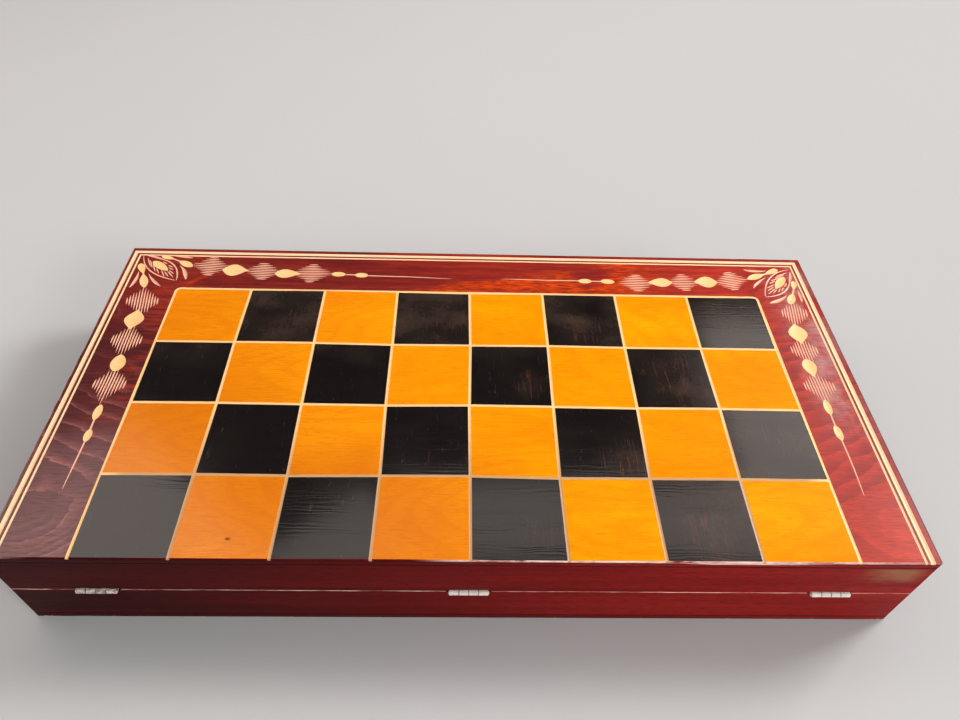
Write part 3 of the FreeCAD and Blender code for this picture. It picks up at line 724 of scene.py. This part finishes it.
def amber_stain():
    """Yellow-orange stain on beech: slow clouds of tone, duller towards -X and the hinge edge where shadow is
    painted on, with thin wavy lines and pores along the grain. Faint growth rings are the upper end of a
    sawtooth of a slow noise. One dark speck lies on the upper side. The lacquer is worn thin except towards
    -X, where it ripples."""
    material, co = new_finish("amber_stain")
    x, y, z = (co.axis(name) for name in "XYZ")
    lines = co.noise((110, 1350, 1350), 3.0, 0.6, 0.6).span(0.46, 0.7)
    pores = co.noise((420, 2600, 2600), 1.0, 0.5).span(0.62, 0.74)
    cloud = co.noise((9, 30, 30), 3.0, 0.55).span(0.3, 0.75)
    # Painted shadow: the amber is darkened towards -X, most near the hinge edge, and left of the middle near
    # the hinge edge
    shadowed_left = x.span(-10, -150) * (0.4 + 0.35 * y.span(20, -20))
    shadowed_near = 0.7 * x.span(80, -40) * y.span(-20, -60)
    rings = (24 * co.noise((5, 15, 15), 1.0, 0.4) + 0.5 * lines).fraction()
    away = ((x - SPECK[0]) / SPECK_HALF[0]) ** 2 + ((y - SPECK[1]) / SPECK_HALF[1]) ** 2
    speck = away.span(1.3, 0.5) * z.span(SEAM, PANEL_TOP - 2)
    tone = coats(
        cloud.blend(shade(242, 138, 0), shade(255, 160, 0)),
        # painted shadow over the amber towards -X and the hinge edge
        (shadowed_left.largest(shadowed_near), shade(204, 104, 0)),
        (lines * 0.34 + pores * 0.36, shade(198, 96, 2)),
        (rings.span(0.5, 0.96) * rings.span(1, 0.97) * 0.2, shade(190, 88, 0)),
        (speck * 0.85, shade(92, 42, 4)))
    ripple = wrinkles(co, FINE_RIPPLES)
    lacquer = 0.01 + 0.5 * x.span(40, -110)
    return lay(material, {
        "Base Color": tone, "Roughness": 0.3 + 0.12 * lines, "Specular IOR Level": 0.03,
        "Coat Weight": lacquer * (0.3 + 1.1 * ripple), "Coat Roughness": 0.16}, (ripple, 0.2, 0.1))


def black_stain():
    """Black stain, rubbed through to red-brown in upright strokes round some places, with soft brown scuffs
    in clouds, most of all on the far rank and at the near right, and fine grey scratches, under wrinkled
    lacquer."""
    material, co = new_finish("black_stain")
    x, y = co.axis("X"), co.axis("Y")
    rubs = co.noise((1150, 58, 1150), 4.0, 0.72).span(0.55, 0.68)
    ragged = 20 * (co.noise((90, 60, 90), 3.0, 0.6) - 0.5)
    worn = reduce(Wire.largest, [
        ((x - middle_x).hypot(y - middle_y) + ragged).span(reach, 0.3 * reach) * strength
        for middle_x, middle_y, reach, strength in RUBBED])
    cloud = co.noise((38, 52, 38), 3.0, 0.5).span(0.25, 0.85)
    scuffs = cloud * (0.55 + 0.45 * co.noise((640, 460, 640), 3.0, 0.7).span(0.3, 0.75))
    scratches = co.noise((900, 120, 900), 3.0, 0.6, 1.5).span(0.64, 0.72)
    grain = co.noise((60, 1300, 1300), 2.0, 0.6)
    far = y.span(0, 40) * (1 - 0.45 * x.span(95, 135))
    handled = x.span(70, 115) * y.span(10, -10)
    tone = coats(
        grain.blend(shade(10, 8, 8), shade(24, 19, 17)),
        (scuffs * (0.05 + 0.5 * worn + 0.85 * far + 0.7 * handled), shade(74, 57, 48)),
        (rubs * worn * 0.9, shade(112, 60, 40)),
        (scratches * 0.2, shade(96, 84, 76)))
    return lay(material, {
        "Base Color": tone, "Roughness": 0.1 + 0.06 * scuffs, "Specular IOR Level": 0.42},
        (wrinkles(co, BROAD_RIPPLES) + 0.15 * grain, 0.12, 0.1))


def border_flame(x, y, sway, ruffle, streaks):
    """The flame of the far side: what lies below a slanting edge that slow noise bends, but for a wedge that
    parts it, and a short slanting streak by the -X corner."""
    slant = FLAME_SLOPE * x + FLAME_EDGE - y + 30 * (sway - 0.5) + 9 * (ruffle - 0.5)
    wedge = abs(x - WEDGE_MIDDLE + 40 * (sway - 0.5)) - WEDGE_SLOPE * (y - WEDGE_FOOT)
    parted = (wedge + 14 * (streaks - 0.5)).span(0, 12)
    flame = slant.span(-4, 4) * parted * x.span(128, 80) * y.span(58, 62) * (0.5 + 0.5 * streaks)
    across = y - STREAK_MIDDLE[1] - STREAK_SLOPE * (x - STREAK_MIDDLE[0])
    streak = abs(across + 9 * (sway - 0.5)).span(3.0, 0.6) * x.span(-163, -158) * x.span(-146, -152)
    return flame.largest(streak * (0.35 + 0.5 * streaks))


def border_rings(co, x, y, sway, ruffle):
    """The pale and the dark growth rings down the two sides, as sawteeth of a level: y less a share of |x|,
    bent by slow noise and roughened by fine noise. Near the hinge edge the level passes into the distance
    from a point, so that the rings close round it. Pale ones lie towards -X and dark ones towards +X."""
    out = abs(x)
    rise = y - RING_SLOPE * (out - RING_FOOT) - CLOSE_NEAR
    dome = ((out - CLOSE_OUT) / CLOSE_STRETCH).hypot(y - CLOSE_NEAR)
    close = rise.span(16, 8)
    ragged = co.noise((260, 420, 260), 4.0, 0.7)
    level = rise + close * (dome - rise) + (14 + 18 * y.span(-40, 0)) * (sway - 0.5)
    level = level + 5 * (ruffle - 0.5) + 3.2 * (ragged - 0.5)
    pale, thin = (((level - RING_START) / pitch).fraction() for pitch in (PALE_PITCH, THIN_PITCH))
    deep = (level / -DARK_PITCH).fraction()
    pale_rings = (0.6 * pale.span(0.5, 0.05) + 0.7 * pale.span(0.16, 0.04)) * pale.span(0, 0.04)
    thin_rings = thin.span(0.85, 0.15) * thin.span(0, 0.12) * close * y.span(-78, -86) * 0.7
    pale_rings = (pale_rings * level.span(6, 9)).largest(thin_rings)
    pale_rings = pale_rings * x.span(-130, -170) * (0.2 + 0.8 * y.span(0, -32))
    dark_rings = deep.span(0.1, 0.8) * deep.span(1.0, 0.97) * x.span(50, 185).span(0.6, 0.9)
    return pale_rings, dark_rings


def border_stain():
    """Mahogany stain on beech, painted lighter and redder towards +X and the far side as light from there
    would make it, streaked and flecked along the grain, with an orange flame on the far side and growth rings
    down the other two. The -X side has red wisps far up and a painted grey reflection near the hinge edge,
    the +X side a pale grey-pink patch along its edge and a brighter orange-red patch of painted light near
    the hinge edge. The ridge between the border lines is brown, and the outer band dark towards +X."""
    material, co = new_finish("border_stain")
    x, y, z = (co.axis(name) for name in "XYZ")
    sway, ruffle = co.noise((16, 34, 34), 3.0, 0.6), co.noise((60, 90, 90), 2.0, 0.5)
    streaks = co.noise((16, 300, 300), 5.0, 0.72).span(0.38, 0.66)
    flecks = co.noise((140, 1300, 1300), 3.0, 0.65)
    wisps = co.noise((26, 260, 260), 4.0, 0.68).span(0.44, 0.62)
    broken = co.noise((20, 60, 60), 3.0, 0.65).span(0.3, 0.6)
    spread = co.noise((40, 28, 40), 4.0, 0.65).span(0.36, 0.64)
    # Painted light: west and east make the tones below darker towards -X and lighter and redder towards +X
    # and the far side
    west, east = x.span(-195, 40).largest(0.58 * y.span(20, 70)), x.span(50, 185)
    side = abs(x).span(150, 168)
    outside = abs(z - SEAM).span(SEAM - 2, SEAM - 1)
    dark = east.blend(west.blend(shade(64, 17, 20), shade(122, 28, 23)), shade(158, 35, 24))
    light = east.blend(west.blend(shade(98, 31, 31), shade(162, 48, 29)), shade(196, 59, 37))
    flame = border_flame(x, y, sway, ruffle, streaks) * outside
    pale_rings, dark_rings = border_rings(co, x, y, sway, ruffle)
    upper_left = x.span(-190, -168) * x.span(-150, -163) * y.span(-46, -16)
    # A painted reflection: a grey veil on the -X side near the hinge edge
    painted_reflection = x.span(-158, -170) * y.span(-26, -48) * outside
    # Painted light: a brighter orange-red patch on the +X side near the hinge edge
    painted_light_patch = x.span(160, 185) * y.span(-62, -84) * outside
    # A pale grey-pink patch along the +X edge
    pale_patch = x.span(166, 188) * y.span(-50, -10) * spread * outside
    rim = (abs(x - BORDER_SHIFT) - HALF_LENGTH).largest(y - HALF_DEPTH + BORDER_DROP)
    outer_band = rim.span(-2.7, -2.2) * x.span(40, 150) * outside
    ridge = abs(rim + RIDGE).span(0.9, 0.5) * outside
    tone = coats(
        (0.5 + (streaks - 0.5) * (1 - 0.7 * side)).blend(dark, light),
        (flame, flecks.span(0.32, 0.64).blend(shade(236, 84, 0), shade(150, 34, 2))),
        (upper_left * wisps * 0.6, shade(170, 50, 24)),
        # painted grey reflection near the -X hinge corner
        (painted_reflection * 0.34, shade(124, 88, 88)),
        (pale_rings * side * (0.12 + 0.3 * broken), shade(196, 116, 108)),
        (dark_rings * side * (0.2 + 0.36 * broken), shade(112, 24, 30)),
        # painted light near the +X hinge corner
        (painted_light_patch * (0.15 + 0.3 * broken), shade(214, 66, 34)),
        (pale_patch * 0.75, shade(182, 140, 136)),
        # the flecks take the painted light too, darker towards -X
        (flecks.span(0.42, 0.68) * (0.34 + 0.12 * side), west.blend(shade(50, 9, 14), shade(108, 22, 22))),
        (outer_band * 0.45, shade(104, 22, 28)),
        (ridge * 0.7, shade(98, 48, 34)))
    return lay(material, {
        "Base Color": tone, "Roughness": 0.3 + 0.12 * flecks, "Specular IOR Level": 0.1,
        "Coat Weight": 0.55 - 0.38 * west, "Coat Roughness": 0.16},
        (wrinkles(co, FINE_RIPPLES) + 0.6 * flecks, 0.1, 0.1))


def bare_wood(name, light, dark, darkening=0.0):
    """Pale beech where the knife went through stain and lacquer, darker in flecks and spots, and between the
    squares darker towards the hinge edge."""
    material, co = new_finish(name)
    # Between the squares the bare wood turns darker towards the hinge edge
    darker_share = co.axis("Y").span(-14, -70) * abs(co.axis("X")).span(GRID_HALF - 2, GRID_HALF - 12)
    flecks = co.noise((160, 900, 900), 2.0, 0.6).span(0.42, 0.8)
    spots = co.noise((50, 50, 50), 2.0, 0.5).span(0.35, 0.75)
    tone = coats(
        (flecks * 0.4 + spots * 0.2).blend(light, dark),
        (darker_share * darkening, shade(168, 122, 80)))
    return lay(material, {
        "Base Color": tone, "Roughness": 0.4 + 0.2 * flecks, "Specular IOR Level": 0.35}, (flecks, 0.2, 0.1))


def rail_stain(name, along, fade):
    """Dark red stain with the grain along the rail, painted lighter towards +X as light from that side would
    make it, and a dark line where the panel is glued on. The outer meeting edges are rubbed bare in a pale
    line, the meeting faces in spots. The hinge side has a painted shadow, a dark band below the panel's edge,
    a faded patch at its upper right, and its upper edge worn pale towards +X, broadest at one place. By the
    -X end the upper edge is chafed."""
    material, co = new_finish(name)

    def drawn(run, across, up):
        return (run, across, up) if along == "x" else (across, run, up)

    x, y, z = (co.axis(name) for name in "XYZ")
    flecks = co.noise(drawn(160, 1500, 1500), 3.0, 0.65)
    bands = co.noise(drawn(4, 60, 110), 3.0, 0.6).span(0.35, 0.7)
    ragged = co.noise(drawn(90, 200, 900), 2.0, 0.6) - 0.5
    rubbed = co.noise((60, 300, 500), 4.0, 0.7).span(0.3, 0.46)
    darker_share = co.noise(drawn(45, 300, 300), 4.0, 0.75).span(0.42, 0.66)
    # Painted light: east makes the stain, its pores and the worn colour below lighter towards +X, as light
    # from that side would
    east, front, outer = x.span(*fade), y.span(1 - HALF_DEPTH, 0.4 - HALF_DEPTH), abs(z - SEAM)
    dark = east.blend(shade(52, 6, 8), shade(140, 20, 19))
    light = east.blend(shade(80, 10, 12), shade(174, 38, 32))
    pores = east.blend(shade(34, 4, 6), shade(84, 10, 12))
    darkening = east.blend(shade(150, 82, 72), shade(190, 120, 106))
    glue = (abs(outer - (PANEL_UNDER - SEAM)) + 0.5 * ragged).span(0.6, 0.3)
    meeting = outer.span(0.4, 0.1) * co.noise((40, 40, 40), 4.0, 0.7).span(0.42, 0.62)
    faded = x.span(166, 182) * x.span(199, 190) * z.span(37, 45) * z.span(53, 51)
    faded = faded * co.noise((60, 60, 90), 3.0, 0.6).span(0.3, 0.6) * front
    # Painted shadow: a dark band just below the panel's top edge on the hinge side
    lip_shadow = (outer + 0.4 * ragged).span(SEAM - 1.9, SEAM - 1.4) * outer.span(SEAM - 0.5, SEAM - 0.8)
    rim = (abs(x) - HALF_LENGTH).largest(abs(y) - HALF_DEPTH)
    bare = (outer + 0.5 * ragged).span(0.42, 0.16) * (rim + 1.2 * ragged).span(-1.4, -0.7)
    broad = x.span(85, 105) * x.span(160, 135)
    edge = front * x.span(-25, 5) * x.span(222, 140) * (outer + broad).span(SEAM - 0.9, SEAM - 0.5)
    chafed = x.span(20 - HALF_LENGTH, -HALF_LENGTH) * outer.span(SEAM - 0.6, SEAM - 0.2)
    worn = (edge.largest(0.5 * chafed) * rubbed * z.span(SEAM, BOX_HEIGHT)).largest(bare)
    tone = coats(
        bands.blend(dark, light),
        (flecks.span(0.4, 0.7) * 0.6, pores),
        (glue * 0.6, shade(30, 5, 7)),
        (meeting * 0.25, shade(196, 118, 92)),
        (faded * 0.6, shade(168, 124, 88)),
        # painted shadow below the panel's edge
        (lip_shadow * front * 0.6, shade(34, 7, 10)),
        (worn, darker_share.blend(shade(248, 214, 200), darkening)))
    return lay(material, {
        "Base Color": tone, "Roughness": 0.3 + 0.14 * flecks + 0.2 * worn, "Specular IOR Level": 0.03},
        (flecks, 0.25, 0.12))


def brushing(co):
    """Fine marks along a metal piece."""
    return co.noise((300, 2600, 2600), 2.0, 0.6)


def worn_plating():
    """Nickel worn to cream on the hinges, with brown tarnish in spots, heavier towards -X, and dark lines
    between the knuckles, where the distance from a hinge's middle is 0 or the length of a knuckle."""
    material, co = new_finish("hinge_plating")
    x, brushed = co.axis("X"), brushing(co)
    tarnish = co.noise((420, 700, 700), 4.0, 0.7).span(0.34, 0.7) * (0.2 + 0.75 * x.span(-60, -150))
    offs = [abs(x - middle) for middle in HINGE_MIDDLES]
    # Darker lines where the knuckles meet
    knuckle_lines = reduce(Wire.largest, [gap.span(0.34, 0.08) for off in offs for gap in (off, abs(off - KNUCKLE))])
    tone = coats(
        tarnish.blend(shade(255, 246, 234), shade(112, 76, 64)),
        (knuckle_lines * 0.7, shade(58, 44, 38)))
    return lay(material, {
        "Base Color": tone, "Metallic": 0.1 - 0.05 * tarnish,
        "Roughness": 0.3 + 0.2 * tarnish + 0.08 * brushed}, (brushed - tarnish, 0.2, 0.06))


def nickel(name, dull_tone, bright_tone, metal):
    """Plated steel, brushed along its length and dulled in patches."""
    material, co = new_finish(name)
    brushed, dull = brushing(co), co.noise((160, 160, 160), 3.0, 0.6).span(0.4, 0.7)
    return lay(material, {
        "Base Color": dull.blend(bright_tone, dull_tone), "Metallic": metal - 0.15 * dull,
        "Roughness": 0.32 + 0.16 * dull + 0.08 * brushed}, (brushed, 0.15, 0.05))


# The pieces

# The last value is the span of x over which painted light makes a rail lighter towards +X
long_rail = rail_stain("long_rail_stain", "x", (-190, 195))
end_rail = rail_stain("end_rail_stain", "y", (-700, 1700))
panel_finishes = [
    border_stain(), amber_stain(), black_stain(),
    bare_wood("bare_wood", shade(252, 200, 136), shade(226, 166, 104), 0.75),
    bare_wood("scored_wood", shade(236, 180, 150), shade(212, 140, 112)),
    bare_wood("line_wood", shade(255, 208, 164), shade(240, 178, 132)), long_rail, end_rail]

shell, polygons, finish, smooth = panel_shell()
upper_board = new_piece("upper_board", shell, polygons, panel_finishes, smooth, finish)
turned = shell * (-1, 1, -1) + (0, 0, BOX_HEIGHT)
lower_board = new_piece("lower_board", turned, polygons, panel_finishes, smooth, finish)
for board, body, node in ((upper_board, "lid", "upper_panel"), (lower_board, "base", "lower_panel")):
    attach(board, body)
    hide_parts(node)

plating = worn_plating()
hook_plating = nickel("hook_plating", shade(150, 140, 126), shade(205, 196, 182), 0.85)
for name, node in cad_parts.items():
    if "rail" in name:
        node.material_slots[0].material = end_rail if "left" in name or "right" in name else long_rail
    elif "hinge" in name:
        node.material_slots[0].material = plating
    elif "hook" in name or "stud" in name:
        node.material_slots[0].material = hook_plating

# Two screws to each hinge leaf, either side of the middle of its pin, and two studs to each half of the box
LEAF_LOW, LEAF_HIGH = (
    [(middle + end * SCREW_SPREAD, SCREW_LINE, SEAM + half * LEAF_RECESS)
     for middle in HINGE_MIDDLES for end in (-1, 1)] for half in (-1, 1))
STUDS_LOW, STUDS_HIGH = (
    [(side * STUD_SPREAD, STUD_FACE, SEAM + half * STUD_REACH) for side in (-1, 1)] for half in (-1, 1))
screw_steel = nickel("screw_steel", shade(150, 144, 136), shade(212, 206, 198), 0.8)
for name, screw, places, facing, body, node in (
        ("lower_leaf_screws", COUNTERSUNK, LEAF_LOW, UPWARDS, "base", "lower_hinge_screws"),
        ("upper_leaf_screws", COUNTERSUNK, LEAF_HIGH, DOWNWARDS, "lid", "upper_hinge_screws"),
        ("hook_pivots", PAN_HEAD, STUDS_LOW, BACKWARDS, "base", "hook_pivot_screws"),
        ("hook_catches", PAN_HEAD, STUDS_HIGH, BACKWARDS, "lid", "catch_studs")):
    screws = screw_set(name, screw, places, facing, screw_steel)
    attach(screws, body)
    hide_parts(node)


# The floor, the lights and the camera

FLOOR_HALF = 60000
KEY_FOOT = (1200, 250)
SKY_LOW, SKY_HIGH = (0.3, 0.3, 0.303, 1), (0.05, 0.05, 0.052, 1)
WHITE, WARM = (1, 1, 1), (1.0, 0.87, 0.81)
# Each light's place and aim in metres, spin in degrees, width, depth, power, colour, and if gloss shows it
LIGHTS = [
    ("ceiling_diffuser", (0, 0, 3.5), (0, 0, 0), 0, 60.0, 60.0, 3900, WHITE, False),
    ("key_box", (1.35, 0.55, 1.05), (0.05, 0.0, 0.05), 0, 0.5, 0.5, 22, WHITE, True),
    ("front_box", (1.0, -0.9, 0.85), (0.2, -0.1, 0.03), 0, 0.5, 0.5, 11, WHITE, False),
    ("left_box", (-1.3, 0.1, 0.6), (0, 0, 0.03), 0, 0.8, 0.5, 2, WHITE, False),
    ("overhead_strip", (0.455, 0.56, 1.16), (0.455, 0.56, 0), 0, 1.17, 0.2, 1.6, WARM, True),
    ("overhead_middle", (-0.232, 0.39, 1.16), (-0.232, 0.39, 0), 41.7, 0.36, 0.35, 0.9, WARM, True),
    ("overhead_left", (-0.736, 0.426, 1.16), (-0.736, 0.426, 0), -42.7, 0.6, 0.5, 2.8, WARM, True),
    ("overhead_right", (0.85, 0.89, 1.16), (0.85, 0.89, 0), 0, 0.4, 0.6, 2.4, WARM, True),
]
# The camera in millimetres, its directions, and its lens
CAMERA_PLACE = Vector((-5.43, -239.8, 332.4))
FORWARD, RIGHTWARD = Vector((0.02817, 0.67625, -0.73614)), Vector((0.99950, -0.00862, 0.03033))
SENSOR_WIDTH, FOCAL_LENGTH, NEAREST, FARTHEST = 36.0, 26.94, 0.01, 50.0


def floor_paint():
    """Pale paint, darker below the key light and lighter far away, so that the floor looks even."""
    material, co = new_finish("floor_paint")
    x, y = co.axis("X"), co.axis("Y")
    below_key = (x - KEY_FOOT[0]).hypot(y - KEY_FOOT[1]).span(1500, 300)
    far_away = x.hypot(y).span(1300, 5000)
    paint = coats(
        co.noise((2, 2, 2)).blend(shade(192, 191, 190), shade(198, 197, 196)),
        (below_key * 0.75, shade(140, 139, 138)),
        (far_away, shade(232, 231, 231)))
    return lay(material, {"Base Color": paint, "Roughness": 0.9, "Specular IOR Level": 0.1})


def set_stage():
    """A pale floor, a sky that is lighter low down, soft light from the whole ceiling, boxes on the right, in
    front and on the left, and four overhead panels that show as gloss in the lacquer."""
    corners = FLOOR_HALF * np.array([(-1, -1, 0), (1, -1, 0), (1, 1, 0), (-1, 1, 0)])
    new_piece("floor", corners, [(0, 1, 2, 3)], [floor_paint()], np.zeros(1, bool))

    world = bpy.data.worlds.new("studio")
    world.use_nodes = True
    bpy.context.scene.world = world
    wire = Wire(world.node_tree)
    up = wire.node("SeparateXYZ", None, {"Vector": wire.node("TexCoord", output="Generated")}, "Z")
    sky = up.span(0.05, 0.4).blend(SKY_LOW, SKY_HIGH)
    world.node_tree.links.new(sky.socket, world.node_tree.nodes["Background"].inputs["Color"])

    for name, place, aim, spin, width, depth, power, colour, mirrored in LIGHTS:
        light = bpy.data.lights.new(name, "AREA")
        light.shape, light.size, light.size_y, light.energy = "RECTANGLE", width, depth, power
        light.color = colour
        lamp = bpy.data.objects.new(name, light)
        lamp.visible_glossy, lamp.visible_camera = mirrored, False
        lamp.location = place
        facing = (Vector(aim) - Vector(place)).to_track_quat("-Z", "Y")
        lamp.rotation_euler = (facing @ Quaternion((0, 0, 1), np.radians(spin))).to_euler()
        bpy.context.scene.collection.objects.link(lamp)


def set_camera():
    """The viewpoint of the photograph: right is squared with forward, and up is their cross product."""
    lens = bpy.data.cameras.new("camera")
    lens.sensor_width, lens.lens = SENSOR_WIDTH, FOCAL_LENGTH
    lens.clip_start, lens.clip_end = NEAREST, FARTHEST
    camera = bpy.data.objects.new("camera", lens)
    forward = FORWARD.normalized()
    right = (RIGHTWARD - RIGHTWARD.dot(forward) * forward).normalized()
    turn = Matrix((right, right.cross(forward), -forward)).transposed().to_4x4()
    camera.matrix_world = Matrix.Translation(CAMERA_PLACE * MM) @ turn
    bpy.context.scene.collection.objects.link(camera)
    bpy.context.scene.camera = camera


set_stage()
set_camera()
bpy.context.scene.view_settings.view_transform = "Standard"
